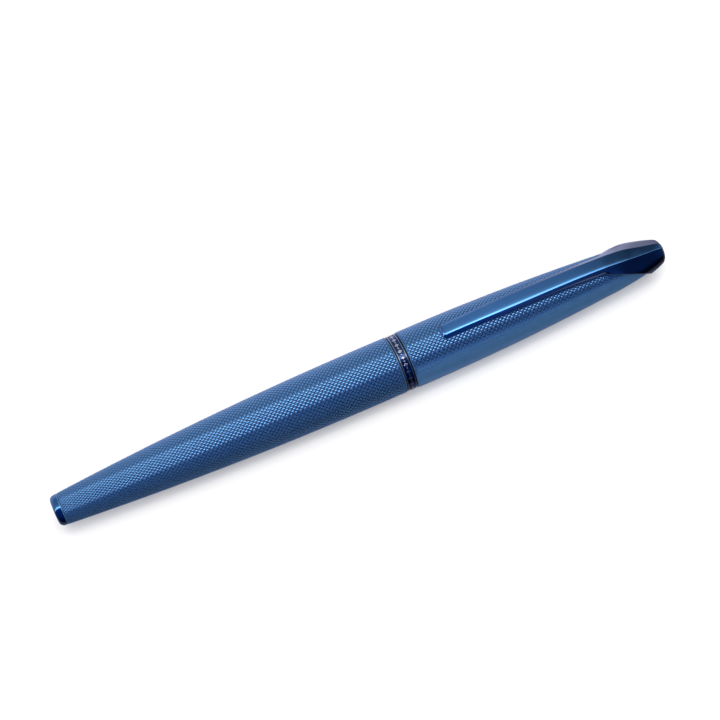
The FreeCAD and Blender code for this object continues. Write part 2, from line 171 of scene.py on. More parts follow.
def diamondCutCoating(name, values):
    # vacuum-coated brass: a metal that is blue itself, bright where it is cut, satin where it is plain,
    # and bare in the bore; painted shade turns it deep navy low in the grooves, darkest where they cross
    material, tree, shader = newMaterial(name, {"Coat Weight": 0.4, "Coat Roughness": 0.15})
    place = addNode(tree, "ShaderNodeTexCoord").outputs["Object"]
    cloud = addNode(tree, "ShaderNodeTexNoise", inputs={"Vector": place, "Scale": 0.6 / mm, "Detail": 3.0})
    tint = addNode(tree, "ShaderNodeMix", {"data_type": "RGBA"}, {"Factor": cloud.outputs["Fac"]})
    tint.inputs["A"].default_value = linear(values["colour"])
    tint.inputs["B"].default_value = linear(values["deepColour"])
    # painted shade: the lower a point lies in its groove (lift), the more its colour turns to the deep navy
    lift = addNode(tree, "ShaderNodeAttribute", {"attribute_name": "lift"}).outputs["Fac"]
    depth = addNode(tree, "ShaderNodeMapRange", inputs={"Value": lift, "From Min": 0.05, "From Max": 0.75})
    grooveShadePainted = addNode(tree, "ShaderNodeMix", {"data_type": "RGBA"}, {"Factor": depth.outputs["Result"]})
    grooveShadePainted.inputs["A"].default_value = linear(values["paintedGrooveShade"])
    tree.links.new(tint.outputs["Result"], grooveShadePainted.inputs["B"])
    bare = addNode(tree, "ShaderNodeAttribute", {"attribute_name": "bare"}).outputs["Fac"]
    metal = addNode(tree, "ShaderNodeMix", {"data_type": "RGBA"}, {"Factor": bare})
    metal.inputs["B"].default_value = linear(values["brass"])
    tree.links.new(grooveShadePainted.outputs["Result"], metal.inputs["A"])
    tree.links.new(metal.outputs["Result"], shader.inputs["Base Color"])
    cut = addNode(tree, "ShaderNodeAttribute", {"attribute_name": "cut"}).outputs["Fac"]
    for socket, plain, polished in (("Roughness", values["satinRoughness"], values["cutRoughness"]),
                                    ("Metallic", values["satinMetallic"], values["cutMetallic"])):
        share = addNode(tree, "ShaderNodeMapRange", inputs={
            "Value": cut, "To Min": plain, "To Max": polished})
        tree.links.new(share.outputs["Result"], shader.inputs[socket])
    return material


polishedBlue = {
    "colour": "#5A9ADA",
    "deepColour": "#4E8FD0",
    "paintedBevelHighlight": "#C0CCF0",    # painted highlight: a paler, silvery base on the bevels and the crown's sides
    "roughness": 0.10,
}


def polishedCoating(name, values):
    # the same coating over mirror-polished metal, with the faint cloud that polishing leaves, and a painted
    # highlight: a paler base on its bevels and the crown's sides
    material, tree, shader = newMaterial(name, {
        "Metallic": 1.0, "Roughness": values["roughness"], "Coat Weight": 0.6, "Coat Roughness": 0.06})
    place = addNode(tree, "ShaderNodeTexCoord").outputs["Object"]
    cloud = addNode(tree, "ShaderNodeTexNoise", inputs={"Vector": place, "Scale": 0.25 / mm, "Detail": 2.0})
    tint = addNode(tree, "ShaderNodeMix", {"data_type": "RGBA"}, {"Factor": cloud.outputs["Fac"]})
    tint.inputs["A"].default_value = linear(values["colour"])
    tint.inputs["B"].default_value = linear(values["deepColour"])
    # painted highlight: where the flank mark is set the base turns pale and silvery, so the bevels reflect
    # brighter
    flank = addNode(tree, "ShaderNodeAttribute", {"attribute_name": "flank"}).outputs["Fac"]
    bevelHighlightPainted = addNode(tree, "ShaderNodeMix", {"data_type": "RGBA"}, {"Factor": flank})
    bevelHighlightPainted.inputs["B"].default_value = linear(values["paintedBevelHighlight"])
    tree.links.new(tint.outputs["Result"], bevelHighlightPainted.inputs["A"])
    tree.links.new(bevelHighlightPainted.outputs["Result"], shader.inputs["Base Color"])
    return material


diamondCoating = diamondCutCoating("blue vacuum coating on diamond-cut brass", coatedBlue)
hoodCoating = polishedCoating("blue vacuum coating on polished metal", polishedBlue)


# One diamond's outline in cells, with each corner's height: full, or cut straight by an edge of the
# pattern. Corners lie where two grooves cross; half way between two crossings the floor is higher.
saddle = 0.25
diamondOutlines = {
    "full": [(-0.5, 0, 0), (-0.25, -0.25, saddle), (0, -0.5, 0), (0.25, -0.25, saddle),
             (0.5, 0, 0), (0.25, 0.25, saddle), (0, 0.5, 0), (-0.25, 0.25, saddle)],
    "tail": [(0, -0.5, 0), (0.25, -0.25, saddle), (0.5, 0, 0), (0.25, 0.25, saddle), (0, 0.5, 0), (0, 0, 0)],
    "head": [(0, 0.5, 0), (-0.25, 0.25, saddle), (-0.5, 0, 0),
             (-0.25, -0.25, saddle), (0, -0.5, 0), (0, 0, 0)],
    "first": [(-0.5, 0, 0), (0, 0, 0), (0.5, 0, 0),
              (0.25, 0.25, saddle), (0, 0.5, 0), (-0.25, 0.25, saddle)],
    "last": [(0.5, 0, 0), (0, 0, 0), (-0.5, 0, 0),
             (-0.25, -0.25, saddle), (0, -0.5, 0), (0.25, -0.25, saddle)],
    "tailFirst": [(0, 0, 0), (0.5, 0, 0), (0.25, 0.25, saddle), (0, 0.5, 0)],
    "tailLast": [(0, 0, 0), (0, -0.5, 0), (0.25, -0.25, saddle), (0.5, 0, 0)],
    "headFirst": [(0, 0, 0), (0, 0.5, 0), (-0.25, 0.25, saddle), (-0.5, 0, 0)],
    "headLast": [(0, 0, 0), (-0.5, 0, 0), (-0.25, -0.25, saddle), (0, -0.5, 0)],
}


# All diamonds of one kind: the outline in the groove, the same outline smaller at the land's
# shoulder, and the land's middle. Gives points as (cells along, cells round), and their heights.
def diamondsOfKind(kind, centres, shoulder):
    corners = np.array(diamondOutlines[kind], dtype=float)
    outline, floor = corners[:, :2], corners[:, 2]
    count = len(outline)
    middle = outline.mean(axis=0)
    share, shoulderHeight = shoulder
    flat = np.concatenate([outline, middle + (outline - middle) * share, [middle]])
    heights = np.concatenate([floor, np.full(count, shoulderHeight), [1.0]])
    points = centres[:, None, :] + flat[None, :, :]
    offset = (np.arange(len(centres)) * len(flat))[:, None, None]
    walls = (gridQuads(2, count, closeColumns=True)[None] + offset).reshape(-1, 4)
    step = np.arange(count)
    top = np.stack([step + count, (step + 1) % count + count, np.full(count, 2 * count)], axis=-1)
    lands = (top[None] + offset).reshape(-1, 3)
    return points.reshape(-1, 2), np.tile(heights, len(centres)), walls, lands


# The whole pattern, (rows / 2) cells long, from column first to column last (None goes all round).
def diamondPattern(rows, around, first, last, shoulder):
    row = np.arange(rows + 1)
    closed = first is None
    slots = np.arange(0, 2 * around) if closed else np.arange(2 * first, 2 * last + 1)
    r, c = np.meshgrid(row, slots, indexing="ij")
    keep = (r + c) % 2 == 0
    r, c = r[keep], c[keep]
    atTail, atHead = r == 0, r == rows
    atFirst = np.zeros_like(atTail) if closed else c == 2 * first
    atLast = np.zeros_like(atTail) if closed else c == 2 * last
    inside = ~(atTail | atHead | atFirst | atLast)
    kinds = {
        "full": inside,
        "tail": atTail & ~atFirst & ~atLast,
        "head": atHead & ~atFirst & ~atLast,
        "first": atFirst & ~atTail & ~atHead,
        "last": atLast & ~atTail & ~atHead,
        "tailFirst": atTail & atFirst,
        "tailLast": atTail & atLast,
        "headFirst": atHead & atFirst,
        "headLast": atHead & atLast,
    }
    cells, heights, quads, triangles = [], [], [], []
    total = 0
    for kind, chosen in kinds.items():
        if not chosen.any():
            continue
        centres = np.stack([r[chosen], c[chosen]], axis=-1) / 2
        points, tall, walls, lands = diamondsOfKind(kind, centres, shoulder)
        cells.append(points)
        heights.append(tall)
        quads.append(walls + total)
        triangles.append(lands + total)
        total += len(points)
    return np.concatenate(cells), np.concatenate(heights), [np.concatenate(quads), np.concatenate(triangles)]


weldGrain = 0.0005 * mm


# Points in the same place become one, so that neighbouring diamonds share their groove.
def weld(points, faceArrays, grain):
    keys = np.round(points / grain).astype(np.int64)
    _, kept, renamed = np.unique(keys, axis=0, return_index=True, return_inverse=True)
    return points[kept], [renamed.reshape(-1)[faces] for faces in faceArrays], kept


# End rims and bore: the outline from the pattern's end, round the mouth and along the bore, turned
# about the axis through the given columns. Gives points, faces and which points are bare metal.
def tubeWall(values, columns):
    start, end = values["start"] + values["edge"], values["end"] - values["edge"]
    outline = [(end, values["radius"](end) - values["depth"], 0)]
    outline += values["rim"](values)
    outline.append((start, values["radius"](start) - values["depth"], 0))
    along, radius, bare = np.array(outline, dtype=float).T
    allRound = np.zeros(len(columns))
    angle = columns * 2 * np.pi / values["around"]
    points = turnedPoints(along[:, None] + allRound, radius[:, None] + allRound, angle)
    return points, gridQuads(len(outline), len(columns), closeColumns=True), np.repeat(bare, len(columns))


# Smooth strip beside the pattern: its two long sides are level with the pattern, and its two ends
# lie in the end grooves.
def smoothStrip(values, rows, pitch, columns):
    along = values["start"] + values["edge"] + np.arange(0, rows + 1) / 2 * pitch
    angle = columns * 2 * np.pi / values["around"]
    lift = np.ones((len(along), len(columns)))
    lift[0, :] = lift[-1, :] = 0
    radius = values["radius"](along)[:, None] - values["depth"] * (1 - lift)
    points = turnedPoints(along[:, None] + 0 * angle, radius, angle[None, :])
    return points, gridQuads(len(along), len(columns))


def diamondTube(name, values, material, body, replaced):
    count = values["around"]
    patternStart = values["start"] + values["edge"]
    patternLength = values["end"] - values["start"] - 2 * values["edge"]
    rows = 2 * int(round(patternLength / values["pitch"]))
    pitch = patternLength / rows * 2
    strip = values.get("strip")
    first = strip[1] if strip else None
    last = strip[0] + count if strip else None
    cells, heights, faces = diamondPattern(rows, count, first, last, values["shoulder"])
    cut = np.ones(len(cells))
    ring = np.arange(0, 2 * count) / 2
    if strip:
        # the cut runs out towards the strip, except in the grooves at the tube's two ends
        atEnds = np.isclose(cells[:, 0], 0) | np.isclose(cells[:, 0], rows / 2)
        toStrip = np.minimum(cells[:, 1] - first, last - cells[:, 1])
        cut = np.where(atEnds, 1.0, np.clip(toStrip / values["runOut"], 0, 1))
        heights = 1 - (1 - heights) * cut
        stripColumns = np.linspace(last, first + count, values["stripColumns"] + 2)
        ring = np.concatenate([np.arange(2 * first, 2 * last + 1) / 2, stripColumns[1:-1]])
    along = patternStart + cells[:, 0] * pitch
    radius = values["radius"](along) - values["depth"] * (1 - heights)
    points = turnedPoints(along, radius, cells[:, 1] * 2 * np.pi / count)

    # the wall's points follow the pattern's, and the strip's come last
    wallPoints, wallFaces, wallBare = tubeWall(values, ring)
    faces = faces + [wallFaces + len(points)]
    points = np.concatenate([points, wallPoints])
    if strip:
        stripPoints, stripFaces = smoothStrip(values, rows, pitch, stripColumns)
        faces.append(stripFaces + len(points))
        points = np.concatenate([points, stripPoints])

    rest = np.zeros(len(points) - len(heights))
    bare = np.zeros(len(points))
    bare[len(heights):len(heights) + len(wallBare)] = wallBare
    crisp = np.concatenate([heights <= saddle, rest == 0])
    points, faces, kept = weld(points, faces, weldGrain)
    # lift is each point's height in its groove, which the coating turns into painted groove shade
    marks = {"cut": np.concatenate([cut, rest])[kept], "lift": np.concatenate([heights, rest + 1])[kept],
             "bare": bare[kept]}
    return makePiece(name, points, faces, material, body, replaced, marks=marks, sharp=crisp[kept])


# the circle through two places of an outline: (along, radius) of each and the circle's own radius
def swellThrough(first, last, arcRadius):
    run, rise = last[0] - first[0], last[1] - first[1]
    chord = math.hypot(run, rise)
    toCentre = math.sqrt(arcRadius ** 2 - chord ** 2 / 4)
    peakAlong = (first[0] + last[0]) / 2 + rise / chord * toCentre
    centreHeight = (first[1] + last[1]) / 2 - run / chord * toCentre
    return peakAlong, centreHeight + arcRadius, arcRadius


barrelSwell = swellThrough((1.6, 3.41), (alongOf("barrel_tube")[1], 6.22), 845.0)


def barrelRadius(along):
    return swell(along, *barrelSwell)


# the coating reaches this far round a tube's end face before the bare bore starts
coatedLip = 0.04


# outline round a tube's ends and along its bore, as (along, radius, 1 where the metal is bare)
def barrelRim(values):
    start, end = values["start"], values["end"]
    mouth, tail = values["radius"](end), values["radius"](start)
    bore = values["bore"]
    return [(end - 0.12, mouth, 0), (end - 0.04, mouth - 0.02, 0), (end, mouth - 0.1, 0),
            (end, bore[0][1] + coatedLip, 0), *[(at, radius, 1) for at, radius in bore],
            (start, bore[-1][1] + coatedLip, 0), (start, tail, 0), (start + 0.1, tail, 0)]


barrelValues = {
    "start": alongOf("barrel_tube")[0],
    "end": alongOf("barrel_tube")[1],
    "edge": 0.25,          # plain rim between the pattern and each end
    "pitch": 1.043,        # one diamond's length along the pen
    "around": 40,          # diamonds round the tube
    "depth": 0.085,        # depth of the cut groove
    "shoulder": (0.58, 0.88),    # the land's share of a diamond, and how high its edge is
    "radius": barrelRadius,
    # the bore's steps, from the mouth to the tail: (along, radius)
    "bore": [(alongOf("barrel_tube")[1], 5.4), (62.9, 5.4), (12.4, 3.3), (6.5, 3.2), (6.5, 2.5),
             (alongOf("barrel_tube")[0], 2.5)],
    "rim": barrelRim,
}


# cap: one long swell, then a tighter one from its shoulder towards the crown
shoulderPlace = (125.4, 4.57)
capSwell = swellThrough((alongOf("cap_tube")[0], 6.263), shoulderPlace, 540.0)
capEndSwell = swellThrough(shoulderPlace, (alongOf("cap_tube")[1], 3.12), 75.0)


def capRadius(along):
    return np.where(along < shoulderPlace[0], swell(along, *capSwell), swell(along, *capEndSwell))


def capRim(values):
    start, end = values["start"], values["end"]
    top, mouth = float(values["radius"](end)), float(values["radius"](start))
    bore = values["bore"]
    return [(end - 0.1, top, 0), (end, top - 0.1, 0), *[(at, radius, 1) for at, radius in bore],
            (start, bore[-1][1] + coatedLip, 0), (start, mouth - 0.12, 0), (start + 0.04, mouth - 0.03, 0),
            (start + 0.12, mouth, 0)]


capValues = {
    "start": alongOf("cap_tube")[0],
    "end": alongOf("cap_tube")[1],
    "edge": 0.25,          # plain rim between the pattern and each end
    "pitch": 1.0,          # one diamond's length along the pen
    "around": 40,          # diamonds round the tube
    "depth": 0.08,         # depth of the cut groove
    "shoulder": (0.58, 0.88),    # the land's share of a diamond, and how high its edge is
    "radius": capRadius,
    # the bore's steps, from the crown to the mouth: (along, radius)
    "bore": [(alongOf("cap_tube")[1], 2.37), (shoulderPlace[0], 3.72), (91.9, 5.4),
             (alongOf("cap_tube")[0], 5.4)],
    "rim": capRim,
    "strip": (6, 16),      # columns between which the cap is smooth, counted from the top
    "stripColumns": 20,    # points across the smooth strip
    "runOut": 1.6,         # columns over which the cut gets shallower beside the strip
}

diamondTube("barrel_diamond_cut", barrelValues, diamondCoating, "barrel", ["barrel_tube"])
diamondTube("cap_diamond_cut", capValues, diamondCoating, "cap", ["cap_tube"])


# Lines that run along the hood, each as (place along the pen, half-width, height over the axis).
hoodValues = {
    "tip": 87.8,                 # the clip's tip
    "tipRound": 0.90,            # length over which the tip's corners are rounded
    "tipSquareness": 2.6,        # 2 makes the tip a half circle, more makes it squarer
    "tipLean": 0.30,             # how far the ribbon's end leans back from the clip's tip
    "leanLength": 0.7,           # length over which this lean dies away
    "ribbon": [(87.8, 1.02, 6.90), (90.9, 1.06, 7.06), (103.9, 1.28, 7.43), (117.9, 1.33, 7.16),
               (124.9, 1.37, 6.65), (128.6, 1.37, 6.08), (130.4, 1.34, 5.68), (134.6, 1.08, 4.50),
               (138.6, 0.72, 3.10), (139.4, 0.62, 2.70)],
    "crease": [(87.8, 1.50, 6.66), (90.9, 1.56, 6.80), (103.9, 1.78, 7.25), (117.9, 1.85, 6.88),
               (124.9, 1.98, 6.08), (128.6, 2.66, 4.95), (130.4, 3.12, 3.98), (134.6, 2.80, 3.02),
               (138.6, 2.20, 1.95), (139.4, 1.95, 1.66)],
    "foot": [(87.8, 1.60, 6.32), (90.9, 1.64, 6.28), (103.9, 1.86, 6.35), (117.9, 1.93, 5.98),
             (124.9, 2.05, 5.50)],
    "crown": [(124.3, 6.03), (128.4, 5.51), (132.5, 4.60), (136.6, 3.65), (137.8, 3.30), (138.6, 2.98),
              (139.2, 2.66), (139.6, 2.24), (139.86, 1.70), (139.96, 1.1), (140.0, 0.02)],
    # the wave line, as two arcs of circle: first place, last place and radius
    "wave": [(124.3, 5.72, 133.9, 1.0, 24.0), (133.9, 1.0, 136.9, -3.7, 9.0)],
    "waveStart": 124.4,
    "blend": 3.0,                # length over which the clip's foot turns into the wave line
    "lipLength": (4.0, 1.0),     # lengths over which the lip grows and dies away
    "lip": (0.34, 0.16),         # width of the bright edge along the wave, and how far it falls
    "edgeRound": (0.10, 0.12),   # along the ribbon and along the crease
    "ribbonSwell": 0.12,        # how far the ribbon's middle stands up, for each mm of half-width
    "sink": (130.4, 138.4),      # where the ribbon's rise over the crown fades out
    "highlightAlongPen": [(88, 0.15), (104, 0.30), (122, 1.0)],   # how much painted highlight the bevels get, along the pen
    "seatGap": 0.02,             # between the cap and the hood's inner wall
    "seatEnd": 136.62,           # where the cap ends inside the crown
}


# Smooth curve through given places: a cubic between neighbours whose slope at each place is the
# harmonic mean of the slopes on its two sides, so that it never overshoots.
def smoothThrough(places, values, at):
    places, values = np.asarray(places, float), np.asarray(values, float)
    gaps = np.diff(places)
    slopes = np.diff(values) / gaps
    product = slopes[:-1] * slopes[1:]
    total = np.where(product > 0, slopes[:-1] + slopes[1:], 1.0)
    inner = np.where(product > 0, 2 * product / total, 0.0)
    tangents = np.concatenate([slopes[:1], inner, slopes[-1:]])
    i = np.clip(np.searchsorted(places, at, side="right") - 1, 0, len(gaps) - 1)
    x, gap = (at - places[i]) / gaps[i], gaps[i]
    rise = (3 - 2 * x) * x * x
    return (values[i] * (1 - rise) + values[i + 1] * rise
            + gap * x * (1 - x) * (tangents[i] * (1 - x) - tangents[i + 1] * x))


def lineAlong(rows, at):
    keys = np.array(rows)
    return np.stack([smoothThrough(keys[:, 0], keys[:, k], at) for k in range(1, keys.shape[1])], axis=-1)


# height of the wave line: each of its arcs bulges up and towards the head
def waveHeight(values, at):
    height = np.full(at.shape, 9.0)
    for startAlong, startUp, endAlong, endUp, radius in values["wave"]:
        run, rise = endAlong - startAlong, endUp - startUp
        chord = math.hypot(run, rise)
        toCentre = math.sqrt(radius ** 2 - chord ** 2 / 4)
        centreAlong = (startAlong + endAlong) / 2 + rise / chord * toCentre
        centreUp = (startUp + endUp) / 2 - run / chord * toCentre
        arc = centreUp + np.sqrt(np.maximum(radius ** 2 - (at - centreAlong) ** 2, 0))
        height = np.where((at >= startAlong) & (at <= endAlong), arc, height)
    return height


# a corner worn round: five points of the curve that leaves the first side and joins the second
def wornCorner(before, corner, after, radius):
    def towards(other):
        gap = other - corner
        length = np.maximum(np.linalg.norm(gap, axis=-1, keepdims=True), 1e-6)
        return corner + gap / length * np.minimum(radius, 0.45 * length)
    first, last = towards(before), towards(after)
    share = np.linspace(0, 1, 5)[:, None, None]
    curve = (1 - share) ** 2 * first + 2 * share * (1 - share) * corner + share ** 2 * last
    return list(curve)


# points between two places of a section, turned about the pen's axis while the radius changes evenly
def turnedBetween(first, last, count):
    radii = [np.hypot(p[:, 0], p[:, 1]) for p in (first, last)]
    angles = [np.arctan2(p[:, 0], p[:, 1]) for p in (first, last)]
    points = []
    for share in np.linspace(0, 1, count + 2)[1:-1]:
        radius = radii[0] * (1 - share) + radii[1] * share
        angle = angles[0] * (1 - share) + angles[1] * share
        points.append(np.stack([radius * np.sin(angle), radius * np.cos(angle)], axis=-1))
    return points


# Right half of the hood's outer line at each station, from the ribbon's middle over its edge, the
# crease and the crown to the wave line, as a list of (half-width, height) points.
def hoodOutside(values, at):
    ribbon, crease = lineAlong(values["ribbon"], at), lineAlong(values["crease"], at)
    foot = lineAlong(values["foot"], np.minimum(at, values["waveStart"]))
    crown = lineAlong(values["crown"], np.maximum(at, values["crown"][0][0]))[:, 0]
    wave = waveHeight(values, np.clip(at, values["wave"][0][0] + 0.05, values["seatEnd"]))
    waveAngle = np.arccos(np.clip(wave / crown, -1, 1))
    onCrown = np.clip((at - values["waveStart"]) / values["blend"] + 0.5, 0, 1)[:, None]
    edge = np.stack([crown * np.sin(waveAngle), crown * np.cos(waveAngle)], axis=-1)
    edge = foot * (1 - onCrown) + edge * onCrown
    # the crown closes at its end: the ribbon and the crease sink into it
    sinking = np.clip((at - values["sink"][0]) / (values["sink"][1] - values["sink"][0]), 0, 1)
    sinking = sinking ** 2 * (3 - 2 * sinking)
    ribbon, crease = [
        line * (1 - sinking * (1 - np.minimum(1, crown / np.hypot(line[:, 0], line[:, 1]))))[:, None]
        for line in (ribbon, crease)]
    # the bright lip along the wave
    lipWidth, lipFall = values["lip"]
    edgeRadius = np.hypot(edge[:, 0], edge[:, 1])
    edgeAngle = np.arctan2(edge[:, 0], edge[:, 1])
    grows, fades = values["lipLength"]
    lipShare = np.clip((at - values["waveStart"]) / grows, 0, 1)
    lipShare = lipShare * np.clip((values["seatEnd"] - at) / fades, 0, 1)
    lipAngle = edgeAngle - lipShare * lipWidth / edgeRadius
    lipTop = np.stack([edgeRadius * np.sin(lipAngle), edgeRadius * np.cos(lipAngle)], axis=-1)
    edge = edge * (1 - lipShare * lipFall / edgeRadius)[:, None]
    # the ribbon is crowned: its middle stands up over its edges
    middle = np.stack([0 * ribbon[:, 0], ribbon[:, 1] + values["ribbonSwell"] * ribbon[:, 0]], axis=-1)
    half = np.stack([ribbon[:, 0] / 2, middle[:, 1] * 0.75 + ribbon[:, 1] * 0.25], axis=-1)
    arc = turnedBetween(crease, lipTop, 8)
    line = [middle, half] + wornCorner(half, ribbon, crease, values["edgeRound"][0])
    line += wornCorner(ribbon, crease, arc[0], values["edgeRound"][1]) + arc + [lipTop, edge]
    return line


# Right half of the hood's inner line, from the wave line back to the middle: flat under the ribbon,
# and over the cap it follows the cap.
def hoodInside(values, at, edge):
    cap = capRadius(np.clip(at, capValues["start"], capValues["end"])) + values["seatGap"]
    height = np.minimum(edge[:, 1], cap)
    onCap = edge[:, 1] < cap
    seat = np.stack([np.sqrt(np.maximum(cap ** 2 - height ** 2, 0)), height], axis=-1)
    flat = edge * np.array([0.6, 1.0])
    start = np.where(onCap[:, None], seat, flat)
    top = np.stack([0 * cap, np.where(onCap, cap, edge[:, 1])], axis=-1)
    turned = turnedBetween(seat, np.stack([0 * cap, cap], axis=-1), 8)
    inner = []
    for k, point in enumerate(turned):
        share = (k + 1) / (len(turned) + 1)
        inner.append(np.where(onCap[:, None], point, flat * (1 - share) + top * share))
    return [start] + inner + [top]


# both halves of a line as one closed loop of rows: right side down, left side back up
def bothSides(line, closesAtBottom):
    right = np.stack(line, axis=1)
    left = (right * np.array([-1.0, 1.0]))[:, ::-1]
    return np.concatenate([right, left[:, 1 if closesAtBottom else 0:-1]], axis=1)


def clipHood(values, material):
    tip, seatEnd = values["tip"], values["seatEnd"]
    near = tip + values["tipRound"] * (1 - np.cos(np.linspace(0, np.pi / 2, 14)))
    blade = np.linspace(near[-1], values["waveStart"] - values["blend"] / 2, 50)[1:]
    hood = np.linspace(blade[-1], seatEnd, 60)[1:]
    at = np.concatenate([near, blade, hood])
    outside = hoodOutside(values, at)
    inside = hoodInside(values, at, outside[-1])
    loops = bothSides(outside + inside, True)

    # the tip: widths shrink to nothing over a rounded square, and the ribbon's end leans back
    away = np.clip((at - tip) / values["tipRound"], 0, 1)
    power = values["tipSquareness"]
    square = (1 - (1 - away) ** power) ** (1 / power)
    loops[:, :, 0] *= square[:, None]
    ribbonHeight = lineAlong(values["ribbon"], at)[:, 1]
    footHeight = lineAlong(values["foot"], np.minimum(at, values["waveStart"]))[:, 1]
    level = (loops[:, :, 1] - footHeight[:, None]) / (ribbonHeight - footHeight)[:, None]
    leanHere = values["tipLean"] * np.exp(-(at - tip) / values["leanLength"])
    along = at[:, None] + leanHere[:, None] * np.clip(level, 0, 1) ** 2

    # beyond the cap the crown is solid: the outer line goes on to the bottom
    endAt = np.concatenate([np.linspace(seatEnd, 139.0, 14), [139.2, 139.4, 139.6, 139.74, 139.86, 139.93,
                                                             139.97, 140.0]])
    endLine = hoodOutside(values, endAt)
    crown = lineAlong(values["crown"], endAt)[:, 0]
    bottom = np.stack([1e-9 + 0 * crown, -crown], axis=-1)
    endLine = endLine + turnedBetween(endLine[-1], bottom, 8) + [bottom]
    endLoops = bothSides(endLine, True)

    points = [penPoints(along, loops[:, :, 0], loops[:, :, 1]),
              penPoints(endAt[:, None], endLoops[:, :, 0], endLoops[:, :, 1])]
    width = loops.shape[1]
    outer = len(outside)
    shell = gridQuads(len(at), width, closeColumns=True)
    end = gridQuads(len(endAt), endLoops.shape[1], closeColumns=True) + len(points[0])
    # wall at the end of the seat: inside of the shell's last loop and the bottom of the crown
    lastLoop = (len(at) - 1) * width
    innerLoop = lastLoop + np.arange(outer - 1, width - outer + 2)
    bottomArc = len(points[0]) + np.arange(outer, endLoops.shape[1] - outer + 1)[::-1]
    wall = np.concatenate([innerLoop, bottomArc])[None, :]
    # the painted highlight's mark: the ribbon's own face is 0, its edge turns to 1 and all outside it is 1
    # as far as the lip
    flank = np.concatenate([[0, 0, 0, 0, 0.5], np.ones(outer - 6), [0]])
    below = np.ones(len(endLine) - outer)
    flanks = [np.concatenate([flank, np.zeros(len(inside))]), np.concatenate([flank, below])]
    flanks = [np.concatenate([half, half[::-1][1:-1]]) for half in flanks]
    highlightAlongPen = np.interp(at, *np.transpose(values["highlightAlongPen"]))
    flanks = np.concatenate([np.outer(highlightAlongPen, flanks[0]).ravel(), np.tile(flanks[1], len(endAt))])
    points, faces, kept = weld(np.concatenate(points), [shell, end, wall], weldGrain)
    faces = [dropFlat(group) for group in faces]
    return makePiece("clip_hood_polished", points, [group for group in faces if len(group)], material, "cap",
                     ["clip_hood"], marks={"flank": flanks[kept]})


# quads that lost corners to the weld become triangles or go
def dropFlat(faces):
    if faces.shape[1] != 4:
        return faces
    distinct = (faces != np.roll(faces, -1, axis=1)).sum(axis=1)
    return faces[distinct == 4]


clipHood(hoodValues, hoodCoating)


ringValues = {
    "radius": 6.15,
    "bore": 4.6,
    "edge": 0.12,          # rounding of its rims
    "rim": 0.05,           # width of the raised line along each rim
    "marks": 24,           # diamonds round the ring
    "diamond": (0.48, 0.58),     # half a diamond's size, round the ring and along the pen
    "dot": 0.20,           # radius of the dots between the diamonds
    "slope": 0.25,         # share of a mark's half-size that is its sloping side
    "relief": 0.06,        # height of the marks
    "columns": 24 * 28,    # points round the ring and across it
    "rows": 30,
    "steel": "#EEF1F8",
    "field": "#3C5686",
}


def ringSteel(name, values):
    # rolled steel: tinted blue in the sunk field, finely brushed and bright on the raised marks
    material, tree, shader = newMaterial(name, {"Metallic": 1.0})
    raised = addNode(tree, "ShaderNodeAttribute", {"attribute_name": "raised"}).outputs["Fac"]
    tint = addNode(tree, "ShaderNodeMix", {"data_type": "RGBA"}, {"Factor": raised})
    tint.inputs["A"].default_value = linear(values["field"])
    tint.inputs["B"].default_value = linear(values["steel"])
    tree.links.new(tint.outputs["Result"], shader.inputs["Base Color"])
    polish = addNode(tree, "ShaderNodeMapRange", inputs={"Value": raised, "To Min": 0.22, "To Max": 0.36})
    tree.links.new(polish.outputs["Result"], shader.inputs["Roughness"])
    return material


# How far a place of the ring is raised, 0 to 1: diamonds with one dot between each two.
def ringMarks(around, across, values):
    step = 2 * math.pi * values["radius"] / values["marks"]
    turn = around / (2 * math.pi) * values["marks"]
    sideways = (turn - np.round(turn)) * step
    diamond = np.abs(sideways) / values["diamond"][0] + np.abs(across) / values["diamond"][1]
    dots = np.hypot(np.abs(sideways) - step / 2, across) / values["dot"]
    return np.clip((1 - np.minimum(diamond, dots)) / values["slope"], 0, 1)


def markedRing(values):
    start, end = alongOf("centre_ring")
    edge, radius = values["edge"], values["radius"]
    around = np.arange(values["columns"]) * 2 * np.pi / values["columns"]
    along = np.linspace(start + edge, end - edge, values["rows"])
    s, a = np.meshgrid(along, around, indexing="ij")
    middle, half = (start + end) / 2, (end - start) / 2
    rim = np.clip((np.abs(s - middle) - half + edge + values["rim"]) / values["rim"], 0, 1)
    raised = np.maximum(ringMarks(a, s - middle, values), rim)
    face = turnedPoints(s, radius - values["relief"] * (1 - raised), a)
    turn = np.radians([30, 60, 90])
    outline = np.concatenate([
        np.stack([end - edge + edge * np.sin(turn), radius - edge + edge * np.cos(turn)], -1),
        [(end, values["bore"]), (start, values["bore"])],
        np.stack([start + edge - edge * np.sin(turn[::-1]), radius - edge + edge * np.cos(turn[::-1])], -1)])
    rest = turnedPoints(outline[:, :1] + 0 * around, outline[:, 1:] + 0 * around, around)
    rows = values["rows"] + len(outline)
    faces = gridQuads(rows, values["columns"], closeRows=True, closeColumns=True)
    marks = np.concatenate([raised.ravel(), np.ones(len(rest))])
    steel = ringSteel("trim ring steel", values)
    return makePiece("ring_marked", np.concatenate([face, rest]), [faces], steel, "trim_ring",
                     ["centre_ring"], marks={"raised": marks})


markedRing(ringValues)


